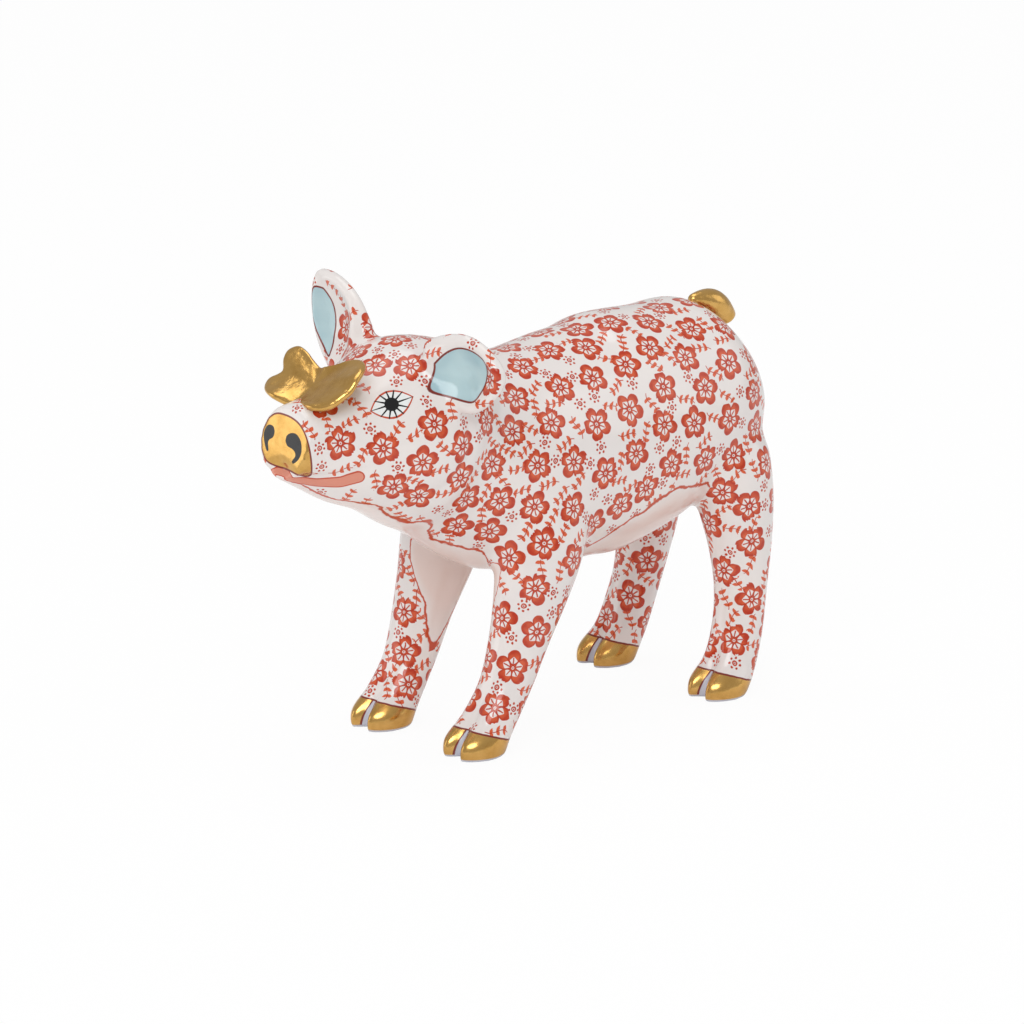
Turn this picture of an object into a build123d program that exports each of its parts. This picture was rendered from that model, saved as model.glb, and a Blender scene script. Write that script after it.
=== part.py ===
"""A standing porcelain pig with a gilt butterfly on its snout, about 84 mm long.

The pig is assembled from separate castings before it is fired: a hollow torso, a hollow head,
four solid legs, two cupped ears and a curled tail, each trimmed to its neighbour's surface and
luted there with slip. The butterfly is pressed as one piece and luted to the bridge of the snout.
The pig looks along -X, its left side faces -Y, and its soles stand on the XY plane.
"""

import os
from math import atan2, cos, degrees, radians, sin

from build123d import *

# Sizes in millimetres, angles in degrees.
# Round sections are many-sided, with corners on the true curve, and each stretch between two
# stations is ruled in steps. These counts keep the model light.
body_sides = 20
body_steps = 4
cavity_sides = 10
limb_sides = 10
limb_steps = 3
trim_sides = 8
lobe_sides = 14
mouth_steps = 2

# Cast walls and their holes.
wall = 2.6
vent_radius = 1.0
air_hole_radius = 1.5
head_cavity_tilt = 18.0
overrun = 1.0

# Torso, from the neck seam back to the rump, and the height of its middle above the ground.
torso_length = 54.6
torso_width = 27.4
torso_depth = 32.0
torso_height = 38.0

# The neck seam, where the head is luted to the torso. It rises above the torso's middle.
neck_x = -19.0
neck_rise = 2.7
neck_width = 21.0
neck_depth = 26.0
neck_tilt = 28.0

# Head, from the neck seam forward to the snout.
head_length = 27.8
head_width = 24.0
head_depth = 25.2

# Mouth groove, which runs from one corner down under the snout and round to the other.
mouth_gap = 0.7
mouth_depth = 0.6

# Legs, which reach a little above the torso's middle.
leg_overlap = 1.0
front_foot_y = 9.4
front_left_lean = 13.9
front_right_lean = 12.7
front_thigh_length = 16.0
front_thigh_width = 10.4
hind_foot_y = 11.2
hind_lean = 5.2
hind_thigh_length = 15.4
hind_thigh_width = 11.6
cleft_width = 1.5
cleft_depth = 2.4

# Ears, the left one cocked out sideways and the right one pricked up.
left_ear_length = 10.0
left_ear_spread = 84.0
right_ear_length = 13.6
right_ear_spread = 43.0
ear_width = 11.0
ear_thickness = 4.3
ear_root = 3.0
ear_sweep = 8.0
cup_width = 8.4
cup_depth = 2.2

# Tail, a short curl that lies on the rump.
tail_curl_radius = 8.3
tail_radius = 1.9
tail_start = 92.0
tail_turn = 61.0

# Butterfly, its body and four dished wings.
butterfly_pitch = 35.0
butterfly_length = 7.2
butterfly_thickness = 2.4
wing_span = 8.0
wing_rise = 8.0
wing_thickness = 1.5
wing_chamfer = 0.4
dish_depth = 0.45

# Shares of the torso's sizes, one row a station from the seam to the rump:
# along its length, rise of its centre, width, depth, and the section's tilt in degrees.
torso_shares = (
    (0.145, -0.018, 0.91, 0.933, 14),
    (0.345, -0.050, 0.98, 0.957, 3),
    (0.527, 0.000, 1.00, 1.069, 0),
    (0.690, 0.018, 1.00, 0.950, 0),
    (0.818, 0.075, 0.95, 0.827, 0),
    (0.910, 0.052, 0.80, 0.635, 0),
    (0.970, 0.020, 0.54, 0.385, 0),
    (1.000, 0.010, 0.26, 0.18, 0),
)
# The same for the head, from the seam to the snout.
head_shares = (
    (0.200, 0.108, 1.00, 1.030, 22),
    (0.430, 0.190, 0.92, 0.925, 17),
    (0.665, 0.169, 0.66, 0.693, 15),
    (0.845, 0.180, 0.475, 0.515, 14),
    (1.000, 0.203, 0.41, 0.385, 12),
)
# Places on the head, as shares of its length ahead of the seam and of its depth above it:
# the mouth's corner, its lowest point and its front, then the butterfly.
mouth_shares = ((0.755, 0.075), (0.899, -0.020), (0.978, 0.004))
butterfly_place_shares = (0.784, 0.472)
# The ears' roots, with a share of the head's half width as well.
left_ear_shares = (0.266, 0.767, 0.504)
right_ear_shares = (0.266, 0.767, 0.464)
# Places on the torso, as shares of its length back from the seam: the feet and the vent.
front_foot_share = -0.037
hind_foot_share = 0.760
vent_share = 0.458
# The middle of the tail's curl, with a share of the torso's depth above its middle.
tail_place_shares = (0.846, 0.2125)
# Shares of a leg's sizes, one row a station from the sole up:
# height, how far back of the foot, how far out, length and width.
front_leg_shares = (
    (0.000, -0.05, 1.00, 0.54, 0.75),
    (0.056, -0.01, 1.00, 0.58, 0.81),
    (0.128, 0.17, 1.00, 0.515, 0.73),
    (0.230, 0.37, 1.00, 0.48, 0.71),
    (0.360, 0.53, 1.00, 0.54, 0.77),
    (0.513, 0.71, 0.98, 0.69, 0.90),
    (0.667, 0.85, 0.94, 0.86, 1.00),
    (0.820, 0.94, 0.85, 0.95, 1.00),
    (1.000, 1.00, 0.74, 0.90, 0.88),
)
hind_leg_shares = (
    (0.000, -0.13, 1.00, 0.54, 0.66),
    (0.056, 0.01, 1.00, 0.59, 0.71),
    (0.128, 0.42, 0.98, 0.51, 0.62),
    (0.230, 0.72, 0.95, 0.48, 0.60),
    (0.360, 0.95, 0.89, 0.49, 0.62),
    (0.513, 1.04, 0.83, 0.60, 0.72),
    (0.667, 0.92, 0.79, 0.72, 0.90),
    (0.790, 0.74, 0.74, 0.84, 1.00),
    (0.900, 0.68, 0.66, 0.85, 0.94),
    (1.000, 0.60, 0.48, 0.64, 0.64),
)
# How deep the cleft of the hoof is at each of the lowest stations.
cleft_shares = (1.00, 1.00, 0.60, 0.10)
# Shares of an ear's sizes from root to tip: along its length, width, thickness and the cup's size.
ear_shares = (
    (0.00, 0.80, 1.00, 0.00),
    (0.22, 0.95, 1.00, 0.45),
    (0.42, 1.00, 0.94, 0.95),
    (0.60, 0.94, 0.86, 1.00),
    (0.78, 0.72, 0.74, 0.70),
    (0.92, 0.42, 0.52, 0.15),
    (1.00, 0.14, 0.24, 0.00),
)
# The tail's thickness at its tip, its middle and its root.
tail_shares = (0.35, 1.00, 0.75)
# Shares of the wing span, one row for each lobe and one for the root: centre back, centre out, radius.
wing_shares = (
    (-0.25, 0.67, 0.33),
    (0.25, 0.69, 0.29),
    (0.00, 0.30, 0.32),
)
# The dish in each: its mouth as a share of the lobe's radius, its floor as a share of the mouth's.
mouth_share = 0.70
floor_share = 0.55
# The butterfly's body from its head back: shares of its length and of its thickness.
butterfly_shares = (
    (0.00, 0.35),
    (0.08, 0.72),
    (0.18, 0.60),
    (0.45, 1.00),
    (1.00, 0.35),
)


def oval(half_width, half_height, sides):
    """The corners of a many-sided oval."""
    turns = [radians(360 * corner / sides) for corner in range(sides)]
    return [(half_width * cos(turn), half_height * sin(turn)) for turn in turns]


def smoothed(rows, steps):
    """The rows with others worked out between them, each column following a smooth curve."""
    result = []
    for index in range(len(rows) - 1):
        before, here, after = rows[max(index - 1, 0)], rows[index], rows[index + 1]
        beyond = rows[min(index + 2, len(rows) - 1)]
        for step in range(steps):
            t = step / steps
            row = []
            for a, b, c, d in zip(before, here, after, beyond):
                bend = (2 * a - 5 * b + 4 * c - d) * t**2 + (3 * b - a - 3 * c + d) * t**3
                row.append(b + ((c - a) * t + bend) / 2)
            result.append(row)
    return result + [rows[-1]]


neck_height = torso_height + neck_rise
leg_height = torso_height + leg_overlap


def on_head(along, rise):
    """A point's x and z from its shares of the head's length and depth."""
    return neck_x - along * head_length, neck_height + rise * head_depth


def on_torso(along, rise):
    """A point's x and z from its shares of the torso's length and depth."""
    return neck_x + along * torso_length, torso_height + rise * torso_depth


def ring_plane(x, z, tilt):
    """A plane across the animal at (x, z), leaning back by tilt."""
    normal = (cos(radians(tilt)), 0, -sin(radians(tilt)))
    return Plane(origin=(x, 0, z), x_dir=(0, 1, 0), z_dir=normal)


def body_rings():
    """The whole body's rings from the snout to the rump: x, z, tilt, half width and half depth."""
    rings = []
    for along, rise, wide, deep, tilt in reversed(head_shares):
        x, z = on_head(along, rise)
        rings.append((x, z, tilt, wide * head_width / 2, deep * head_depth / 2))
    rings.append((neck_x, neck_height, neck_tilt, neck_width / 2, neck_depth / 2))
    for along, rise, wide, deep, tilt in torso_shares:
        x, z = on_torso(along, rise)
        rings.append((x, z, tilt, wide * torso_width / 2, deep * torso_depth / 2))
    return rings


def body_form(inset):
    """The body as one loft through its rings, each drawn in by the inset where it has room."""
    with BuildPart() as form:
        for x, z, tilt, half_width, half_depth in smoothed(body_rings(), body_steps):
            if min(half_width, half_depth) > 2 * inset:
                with BuildSketch(ring_plane(x, z, tilt)):
                    Polygon(*oval(half_width - inset, half_depth - inset, body_sides), align=None)
        loft(ruled=True)
    return form.part


def flattened(form):
    """The same form with each of its flat sides made a true plane."""
    return Solid(Shell([Face(side.outer_wire(), side.inner_wires()) for side in form.faces()]))


def cavity_form(tilt, width, depth):
    """The space that the wall leaves. Its rings are parallel and of one shape, so its sides are flat."""
    snout, rump = neck_x - head_length, neck_x + torso_length
    with BuildPart() as form:
        for x, z, ring_tilt, half_width, half_depth in body_rings():
            upright = half_depth * cos(radians(ring_tilt - tilt))
            if min(half_width, upright) > 2 * wall and snout + wall < x < rump - wall:
                share = min((half_width - wall) / width, (upright - wall) / depth)
                with BuildSketch(ring_plane(x, z, tilt)):
                    Polygon(*oval(share * width, share * depth, cavity_sides), align=None)
        loft(ruled=True)
    return flattened(form.part)


def cut_at(form, plane, keep):
    """The half of a form in front of a plane (Keep.BOTTOM) or behind it (Keep.TOP)."""
    with BuildPart() as half:
        add(form)
        split(bisect_by=plane, keep=keep)
    return half.part


def leg(shares, foot_share, foot_y, lean, length, width, side):
    """One solid leg with a cloven hoof, trimmed to the torso."""
    foot_x = neck_x + foot_share * torso_length
    with BuildPart() as limb:
        for up, back, out, long, wide in smoothed(shares, limb_steps):
            with BuildSketch(Plane.XY.offset(up * leg_height)):
                with Locations((foot_x + back * lean, side * out * foot_y)):
                    Polygon(*oval(long * length / 2, wide * width / 2, limb_sides), align=None)
        loft(ruled=True)
        add(torso_form, mode=Mode.SUBTRACT)
        for (up, back, out, long, wide), deep in zip(shares, cleft_shares):
            toe_x = foot_x + back * lean - long * length / 2
            toe_y = side * out * foot_y
            with BuildSketch(Plane.XY.offset(up * leg_height)):
                with BuildLine():
                    Polyline(
                        (toe_x - overrun, toe_y - cleft_width),
                        (toe_x - overrun, toe_y + cleft_width),
                        (toe_x + deep * cleft_depth, toe_y),
                        close=True,
                    )
                make_face()
        loft(ruled=True, mode=Mode.SUBTRACT)
    return limb.part


def ear(side, spread, length, place_shares):
    """One ear, cupped on its front face and trimmed to the head."""
    along, out, rise = place_shares
    ear_x, ear_height = on_head(along, rise)
    ear_y = side * out * head_width / 2
    axis = Vector(sin(radians(ear_sweep)), side * sin(radians(spread)), cos(radians(spread))).normalized()
    root = Vector(ear_x, ear_y, ear_height) - axis * ear_root
    across = Vector(1, 0, 0).cross(axis).normalized()
    reach = ear_root + length
    with BuildPart() as shell:
        for along, wide, thick, cup in smoothed(ear_shares, limb_steps):
            with BuildSketch(Plane(origin=root + axis * along * reach, x_dir=across, z_dir=axis)):
                Polygon(*oval(wide * ear_width / 2, thick * ear_thickness / 2, limb_sides), align=None)
        loft(ruled=True)
        for along, wide, thick, cup in smoothed(ear_shares[1:-1], limb_steps):
            with BuildSketch(Plane(origin=root + axis * along * reach, x_dir=across, z_dir=axis)):
                with Locations((0, -thick * ear_thickness / 2)):
                    Polygon(*oval(cup * cup_width / 2, cup * cup_depth, limb_sides), align=None)
        loft(ruled=True, mode=Mode.SUBTRACT)
        add(head_form, mode=Mode.SUBTRACT)
    return shell.part


def wing(side):
    """A pair of wings on one side, a plate of round lobes with a shallow dish in each."""
    out_axis = Vector(0, side * cos(radians(wing_rise)), 0) + wing_up * sin(radians(wing_rise))
    plane = Plane(origin=butterfly_centre, x_dir=wing_back, z_dir=wing_back.cross(out_axis))
    with BuildPart() as pair:
        for back, out, size in wing_shares:
            radius = size * wing_span
            with BuildSketch(plane.offset(-side * wing_thickness / 2)):
                with Locations((back * wing_span, out * wing_span)):
                    Polygon(*oval(radius, radius, lobe_sides), align=None)
            extrude(amount=side * (wing_thickness - wing_chamfer))
            with BuildSketch(plane.offset(side * (wing_thickness / 2 - wing_chamfer))):
                with Locations((back * wing_span, out * wing_span)):
                    Polygon(*oval(radius, radius, lobe_sides), align=None)
            extrude(amount=side * wing_chamfer, taper=45)
        for back, out, size in wing_shares:
            radius = mouth_share * size * wing_span
            slope = degrees(atan2(radius * (1 - floor_share), dish_depth))
            with BuildSketch(plane.offset(side * wing_thickness / 2)):
                with Locations((back * wing_span, out * wing_span)):
                    Polygon(*oval(radius, radius, lobe_sides), align=None)
            extrude(amount=-side * dish_depth, taper=slope, mode=Mode.SUBTRACT)
    return flattened(pair.part)


# The body is modelled whole and sawn through at the neck seam.
seam = ring_plane(neck_x, neck_height, neck_tilt)
whole_form = body_form(0)
groove_floor = body_form(mouth_depth)
torso_cavity = cavity_form(0, torso_width, torso_depth)
head_cavity = cavity_form(head_cavity_tilt, head_width, head_depth)
torso_form = cut_at(whole_form, seam, Keep.TOP)
head_form = cut_at(whole_form, seam, Keep.BOTTOM)

# The torso is a closed shell with an air hole through its neck wall and a vent in its belly.
with BuildPart() as torso:
    add(torso_form)
    add(cut_at(torso_cavity, seam.offset(wall), Keep.TOP), mode=Mode.SUBTRACT)
    with BuildSketch(seam):
        Circle(air_hole_radius)
    extrude(amount=wall + overrun, mode=Mode.SUBTRACT)
    with BuildSketch(Plane.XY):
        with Locations((neck_x + vent_share * torso_length, 0)):
            Circle(vent_radius)
    extrude(amount=torso_height, mode=Mode.SUBTRACT)

# The band that the mouth's groove follows, cut no deeper than the groove.
with BuildPart() as mouth_band:
    with BuildSketch(Plane.XZ):
        with BuildLine() as mouth:
            Polyline(*[on_head(along, rise) for along, rise in smoothed(mouth_shares, mouth_steps)])
        trace(line_width=mouth_gap)
    extrude(amount=head_width, both=True)
    add(groove_floor, mode=Mode.SUBTRACT)

# The head is a closed shell too, with the matching air hole in its neck wall.
with BuildPart() as head:
    add(head_form)
    add(cut_at(head_cavity, seam.offset(-wall), Keep.BOTTOM), mode=Mode.SUBTRACT)
    with BuildSketch(seam):
        Circle(air_hole_radius)
    extrude(amount=-(wall + overrun), mode=Mode.SUBTRACT)
    add(mouth_band.part, mode=Mode.SUBTRACT)

# The tail, thick in the middle, with its root on the rump and its tip laid on the back.
with BuildPart() as tail:
    with BuildLine(Plane.XZ) as curl:
        CenterArc(on_torso(*tail_place_shares), tail_curl_radius, tail_start, -tail_turn)
    for station, share in enumerate(tail_shares):
        with BuildSketch(curl.line ^ (station / (len(tail_shares) - 1))):
            Polygon(*oval(share * tail_radius, share * tail_radius, trim_sides), align=None)
    sweep(multisection=True)
    add(torso_form, mode=Mode.SUBTRACT)

# The butterfly, its body pitched up along the bridge of the snout.
wing_back = Vector(cos(radians(butterfly_pitch)), 0, sin(radians(butterfly_pitch)))
wing_up = Vector(-wing_back.Z, 0, wing_back.X)
butterfly_x, butterfly_height = on_head(*butterfly_place_shares)
butterfly_centre = Vector(butterfly_x, 0, butterfly_height)
with BuildPart() as butterfly:
    for along, thick in butterfly_shares:
        place = butterfly_centre + wing_back * (along - 0.5) * butterfly_length
        radius = thick * butterfly_thickness / 2
        with BuildSketch(Plane(origin=place, x_dir=(0, 1, 0), z_dir=wing_back)):
            Polygon(*oval(radius, radius, trim_sides), align=None)
    loft(ruled=True)
    add(wing(-1))
    add(wing(1))
    add(head_form, mode=Mode.SUBTRACT)

parts = {"torso": torso.part, "head": head.part, "tail": tail.part, "butterfly": butterfly.part}
for side, name, front_lean in ((-1, "left", front_left_lean), (1, "right", front_right_lean)):
    parts["leg_front_" + name] = leg(
        front_leg_shares, front_foot_share, front_foot_y, front_lean, front_thigh_length, front_thigh_width, side
    )
    parts["leg_hind_" + name] = leg(
        hind_leg_shares, hind_foot_share, hind_foot_y, hind_lean, hind_thigh_length, hind_thigh_width, side
    )
parts["ear_left"] = ear(-1, left_ear_spread, left_ear_length, left_ear_shares)
parts["ear_right"] = ear(1, right_ear_spread, right_ear_length, right_ear_shares)

# The origin is under the middle of the whole figure, on the plane that the soles stand on.
box = Compound(children=[part.moved(Location()) for part in parts.values()]).bounding_box()
to_origin = Location((-box.center().X, -box.center().Y, 0))

os.makedirs("parts", exist_ok=True)
for name, part in parts.items():
    piece = part.moved(to_origin)
    piece.label = name
    export_step(piece, f"parts/{name}.step")
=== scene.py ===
"""Looks for the standing porcelain pig with a gilt butterfly on its snout.

The castings are luted together with slip, so their skins are modelled as one, smoothed where they
meet, and then parted again into one piece for each casting. The decoration is painted in a shader
on coordinates that are worked out here for every motif and every painted feature.
"""

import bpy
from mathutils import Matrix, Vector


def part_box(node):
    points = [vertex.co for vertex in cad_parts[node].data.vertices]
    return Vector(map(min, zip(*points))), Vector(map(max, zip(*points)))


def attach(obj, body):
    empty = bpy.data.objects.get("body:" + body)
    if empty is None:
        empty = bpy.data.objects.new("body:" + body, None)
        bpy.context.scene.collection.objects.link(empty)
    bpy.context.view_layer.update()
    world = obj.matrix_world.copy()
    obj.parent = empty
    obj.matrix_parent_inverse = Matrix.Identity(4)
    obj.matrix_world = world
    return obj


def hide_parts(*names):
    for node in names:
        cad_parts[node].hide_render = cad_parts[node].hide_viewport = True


bl_info = {
    "name": "Porcelain Pig",
    "version": (1, 0, 0),
    "blender": (4, 5, 0),
    "location": "View3D > Sidebar > Porcelain Pig",
    "description": "Makes the glazed and gilded skin of a porcelain pig figurine around its castings",
    "category": "Object",
}

from math import cos, pi, radians, sin

import bpy
import numpy as np
from bpy.props import FloatProperty, FloatVectorProperty, IntProperty, PointerProperty
from mathutils import Matrix, Vector
from mathutils.bvhtree import BVHTree
from mathutils.kdtree import KDTree

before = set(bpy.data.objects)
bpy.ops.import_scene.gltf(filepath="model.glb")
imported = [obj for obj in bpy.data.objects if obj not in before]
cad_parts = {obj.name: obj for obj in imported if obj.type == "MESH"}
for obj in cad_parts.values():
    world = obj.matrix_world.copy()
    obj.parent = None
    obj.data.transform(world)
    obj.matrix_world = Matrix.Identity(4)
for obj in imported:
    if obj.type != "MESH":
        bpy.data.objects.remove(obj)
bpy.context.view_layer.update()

MM = 0.001

# The castings' own sizes in millimetres, measured from a point midway between the feet.
NECK = (-19.0, 40.7)
NECK_WIDTH, NECK_DEPTH, NECK_TILT = 21.0, 26.0, 28.0
TORSO_MIDDLE = 38.0
LEG_HEIGHT = 39.0
FOOT_X = {"front": -21.02, "hind": 22.5}
FOOT_Y = {"front": 9.4, "hind": 11.2}
LEAN = {"front_left": 13.9, "front_right": 12.7, "hind_left": 5.2, "hind_right": 5.2}
THIGH = {"front": (16.0, 10.4), "hind": (15.4, 11.6)}
CLEFT_WIDTH, CLEFT_DEPTH = 1.5, 2.4

# Along, rise, width, depth and tilt of each station of the torso, and then of the head.
TORSO_SHARES = (
    (0.145, -0.018, 0.91, 0.933, 14),
    (0.245, -0.029, 0.95, 0.956, 8),
    (0.345, -0.033, 0.98, 0.991, 3),
    (0.436, -0.028, 0.99, 1.006, 1),
    (0.527, -0.015, 1.00, 1.038, 0),
    (0.690, 0.018, 1.00, 0.950, 0),
    (0.818, 0.075, 0.95, 0.827, 0),
    (0.910, 0.052, 0.80, 0.635, 0),
    (0.970, 0.020, 0.54, 0.385, 0),
    (1.000, 0.010, 0.26, 0.18, 0),
)
HEAD_SHARES = (
    (0.200, 0.108, 1.00, 1.030, 22),
    (0.430, 0.190, 0.92, 0.925, 17),
    (0.665, 0.169, 0.66, 0.693, 15),
    (0.845, 0.180, 0.475, 0.515, 14),
    (1.000, 0.203, 0.41, 0.385, 12),
)
# Up, back, out, length and width of each station of a leg.
LEG_SHARES = {
    "front": (
        (0.000, -0.05, 1.00, 0.54, 0.75),
        (0.056, -0.01, 1.00, 0.58, 0.81),
        (0.128, 0.17, 1.00, 0.515, 0.73),
        (0.230, 0.37, 1.00, 0.48, 0.71),
        (0.360, 0.53, 1.00, 0.54, 0.77),
        (0.513, 0.71, 0.98, 0.69, 0.90),
        (0.667, 0.85, 0.94, 0.86, 1.00),
        (0.820, 0.94, 0.85, 0.95, 1.00),
        (1.000, 1.00, 0.74, 0.90, 0.88),
    ),
    "hind": (
        (0.000, -0.13, 1.00, 0.54, 0.66),
        (0.056, 0.01, 1.00, 0.59, 0.71),
        (0.128, 0.42, 0.98, 0.51, 0.62),
        (0.230, 0.72, 0.95, 0.48, 0.60),
        (0.360, 0.95, 0.89, 0.49, 0.62),
        (0.513, 1.04, 0.83, 0.60, 0.72),
        (0.667, 0.92, 0.79, 0.72, 0.90),
        (0.790, 0.74, 0.74, 0.84, 1.00),
        (0.900, 0.68, 0.66, 0.85, 0.94),
        (1.000, 0.60, 0.48, 0.64, 0.64),
    ),
}
CLEFT_SHARES = (1.00, 1.00, 0.60, 0.10, 0, 0, 0, 0, 0, 0)
# Along, width, thickness and cup of each station of an ear.
EAR_SHARES = (
    (0.00, 0.80, 1.00, 0.00),
    (0.22, 0.95, 1.00, 0.45),
    (0.42, 1.00, 0.94, 0.95),
    (0.60, 0.94, 0.86, 1.00),
    (0.78, 0.72, 0.74, 0.70),
    (0.92, 0.42, 0.52, 0.15),
    (1.00, 0.14, 0.24, 0.00),
)
SIDES = {"left": -1, "right": 1}
EARS = {
    "left": {"length": 10.0, "height": 53.4, "spread": 84.0},
    "right": {"length": 13.6, "height": 52.4, "spread": 43.0},
}
EAR_X, EAR_Y, EAR_ROOT, EAR_SWEEP = -26.4, 9.2, 3.0, 8.0
EAR_WIDTH, EAR_THICKNESS, CUP_WIDTH, CUP_DEPTH = 11.0, 4.3, 8.4, 2.2
# The least half width of a cup that runs out, and how far behind an ear's middle a cup may reach.
CUP_LEAST, CUP_LIMIT_SHARE = 0.01, 0.22

LEGS = ("leg_front_left", "leg_front_right", "leg_hind_left", "leg_hind_right")
LIMBS = (*LEGS, "ear_left", "ear_right")
SKINS = ("torso", "head", *LIMBS)

# Corners of a ring, and rings or points from one station to the next.
BODY_SIDES, LIMB_SIDES, TAIL_SIDES = 96, 64, 28
RING_STEPS, TAIL_STEPS, WING_STEPS, LINE_STEPS = 8, 16, 3, 6

# How far a luted joint reaches, the share of that in full slip, its pull in each round of smoothing,
# and how far round a limb its joint is looked for.
LUTE_REACH = {"leg": 3.2, "ear": 1.6}
LUTE_CORE_SHARE, LUTE_PULL_SHARE, LUTE_MARGIN = 0.3, 0.5, 3.5
# Share of the way to the neighbours, and rounds of it: on the raw skin, to spread the joints, and
# over the furrows.
STEP_EASE, JOINT_EASE, FURROW_EASE = (0.5, 6), (0.5, 8), (0.4, 3)
# Furrows and folds of the skin on the left side, mirrored to the right: width, depth, then points.
FURROWS = (
    (0.9, 0.55, (
        (-25.5, -12.0, 48.5), (-24.2, -12.4, 45.0), (-25.4, -12.2, 41.0), (-28.4, -11.2, 38.0),
        (-32.0, -9.0, 36.0),
    )),
    (0.8, 0.50, (
        (-39.4, -7.2, 41.9), (-41.5, -5.9, 41.3), (-44.4, -4.3, 41.2), (-46.2, -3.0, 41.7),
        (-47.3, -1.2, 42.3), (-47.5, 0.0, 42.5),
    )),
    (1.0, 0.50, (
        (-2.6, -14.0, 34.5), (-1.8, -13.6, 30.5), (-2.4, -12.6, 26.5), (-4.0, -11.6, 23.5),
    )),
)


def ink(code):
    """A hexadecimal colour as Blender's linear one, by the standard formula for screen colours."""
    values = [int(code[at : at + 2], 16) / 255 for at in (0, 2, 4)]
    return tuple(v / 12.92 if v <= 0.04045 else ((v + 0.055) / 1.055) ** 2.4 for v in values)


def colour(label, about, code):
    tone = ink(code)
    return FloatVectorProperty(
        name=label, description=about, subtype="COLOR", size=3, min=0, max=1, default=tone
    )


def length(label, about, millimetres):
    metres = millimetres * MM
    return FloatProperty(name=label, description=about, unit="LENGTH", subtype="DISTANCE", default=metres)


class PigSizes(bpy.types.PropertyGroup):
    """Sizes of the castings and of the brushwork."""

    torso_length: length("Torso length", "From the neck seam to the rump", 54.6)
    torso_width: length("Torso width", "Across the widest part of the belly", 27.4)
    torso_depth: length("Torso depth", "From the back to the belly", 32.0)
    head_length: length("Head length", "From the neck seam to the snout", 27.8)
    head_width: length("Head width", "Across the cheeks", 24.0)
    head_depth: length("Head depth", "From the poll to the jowl", 25.2)
    skin_detail: length("Skin detail", "Size of the faces of the finished skin", 0.30)
    blossom_gap: length("Blossom spacing", "Least distance between two painted blossoms", 4.7)
    filler_gap: length("Filler spacing", "Least distance from a small motif to any other", 2.7)
    pen_line: length("Pen line", "Width of a painted line", 0.20)
    lute_rounds: IntProperty(
        name="Luting", description="Rounds of smoothing where castings meet", default=90, min=0
    )


class PigColours(bpy.types.PropertyGroup):
    """Colours of the glaze, the enamels and the gold."""

    glaze: colour("Glaze", "Clear glaze over white porcelain", "EDE6E2")
    glaze_shade: colour("Thick glaze", "Glaze where it has run thick", "E3DEDD")
    blush: colour("Blush", "Warm tone of the bare throat, chest and belly", "E6CFC6")
    wash: colour("Red wash", "Iron red where the brush leaves it thin", "D95F38")
    pool: colour("Red pool", "Iron red where the colour gathers", "B93317")
    line: colour("Red line", "Fine lines drawn with the pen", "C24726")
    outline: colour("Dark outline", "Brown-red round gold and blue", "7E2A20")
    blue: colour("Ear blue", "Pale blue inside the ears", "BED8DC")
    blue_shade: colour("Deep ear blue", "Blue where the brush left more of it", "A8C6CE")
    eye_white: colour("Eye white", "White of the eyes", "EDF0EF")
    lip: colour("Lip", "Pink of the lips", "DD8E78")
    black: colour("Black", "Pupils, lashes and nostrils", "0B0B0D")
    gold: colour("Gold", "Burnished gilding", "DDB067")
    gold_shade: colour("Thin gold", "Gilding where the brush laid it thin", "BF9148")
    # The bare foot rims' own colour, which is also laid in the clefts as painted shade of their notches.
    rim_grey_and_cleft_shade: colour("Unglazed grey", "Bare foot rims and clefts", "C9CBD6")
    floor: colour("Floor", "Studio sweep", "FFFFFF")


def sizes():
    return bpy.context.scene.pig_sizes


def colours():
    return bpy.context.scene.pig_colours


def unit(vector):
    return np.array(vector) / np.linalg.norm(vector)


def smoothed(rows, steps):
    """The rows with others between them, each column following a smooth curve."""
    rows = np.array(rows, float)
    padded = np.vstack([rows[:1], rows, rows[-1:]])
    result = []
    for index in range(len(rows) - 1):
        a, b, c, d = padded[index : index + 4]
        for t in np.arange(steps) / steps:
            bend = (2 * a - 5 * b + 4 * c - d) * t**2 + (3 * b - a - 3 * c + d) * t**3
            result.append(b + ((c - a) * t + bend) / 2)
    return np.vstack([result, rows[-1:]])


def circle(count):
    turns = np.arange(count) * 2 * pi / count
    return np.cos(turns), np.sin(turns)


def closed_mesh(name, rings):
    """A mesh through rings of equal counts, closed with a face at each end."""
    rings = np.array(rings)
    count, sides = rings.shape[:2]
    faces = [
        (i * sides + j, i * sides + (j + 1) % sides, (i + 1) * sides + (j + 1) % sides, (i + 1) * sides + j)
        for i in range(count - 1)
        for j in range(sides)
    ]
    faces.append(tuple(range(sides))[::-1])
    faces.append(tuple(range((count - 1) * sides, count * sides)))
    mesh = bpy.data.meshes.new(name)
    mesh.from_pydata(rings.reshape(-1, 3).tolist(), [], faces)
    return mesh


def body_stations(part, shares, way, middle):
    """Place, tilt, half width and half depth of the head's or the torso's stations."""
    size = sizes()
    long, wide, deep = (getattr(size, f"{part}_{side}") for side in ("length", "width", "depth"))
    rows = []
    for along, rise, width, depth, tilt in shares:
        x = NECK[0] + way * along * long / MM
        z = middle + rise * deep / MM
        rows.append((x, z, tilt, width * wide / MM / 2, depth * deep / MM / 2))
    return rows


def body_rings():
    """Rings of the whole body from the snout to the rump, in millimetres."""
    rows = body_stations("head", HEAD_SHARES[::-1], -1, NECK[1])
    rows.append((*NECK, NECK_TILT, NECK_WIDTH / 2, NECK_DEPTH / 2))
    rows += body_stations("torso", TORSO_SHARES, 1, TORSO_MIDDLE)
    across, up = circle(BODY_SIDES)
    rings = []
    for x, z, tilt, half_width, half_depth in smoothed(rows, RING_STEPS):
        lean = radians(tilt)
        reach = up * half_depth
        rings.append(np.stack([x + reach * sin(lean), across * half_width, z + reach * cos(lean)], 1))
    return rings


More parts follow.
